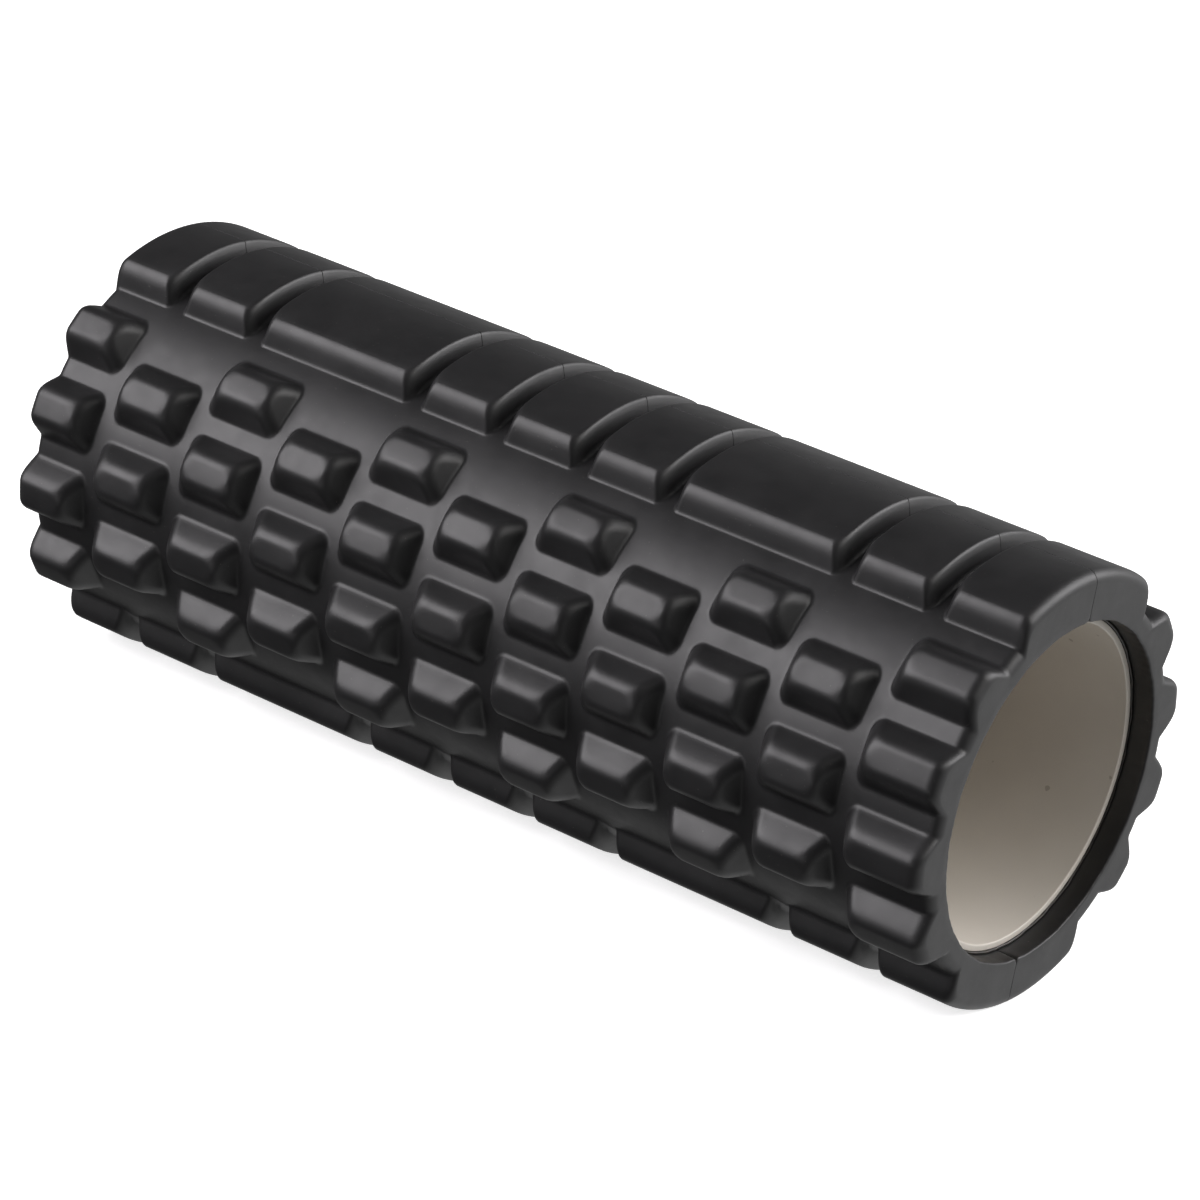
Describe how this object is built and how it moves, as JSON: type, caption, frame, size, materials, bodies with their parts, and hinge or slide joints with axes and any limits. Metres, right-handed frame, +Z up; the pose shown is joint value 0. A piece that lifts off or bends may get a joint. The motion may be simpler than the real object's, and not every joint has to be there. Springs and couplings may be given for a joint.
{
  "type": "foam roller",
  "caption": "Hollow massage roller: textured black foam half shells glued round a rigid, open-ended core tube.",
  "frame": {"origin": "centre of the roller, on its axis at half its length, which is the centre of the bounding box", "axes": "+X along the roller's axis and its longest side, +Z up through the upper seam, -Y towards the front half shell"},
  "size_m": [0.33, 0.13, 0.1298],
  "materials": {
    "foam": "moulded black EVA foam with a closed, satin skin and a very fine grain",
    "core_plastic": "extruded off-white plastic, satin inside",
    "glue": "cured contact adhesive, dull and dark"
  },
  "bodies": {
    "root": {"core_tube": "core_plastic", "foam_shell_front": "foam", "foam_shell_back": "foam", "glue_film_front": "glue", "glue_film_back": "glue", "seam_glue_top": "glue", "seam_glue_bottom": "glue"}
  },
  "joints": []
}
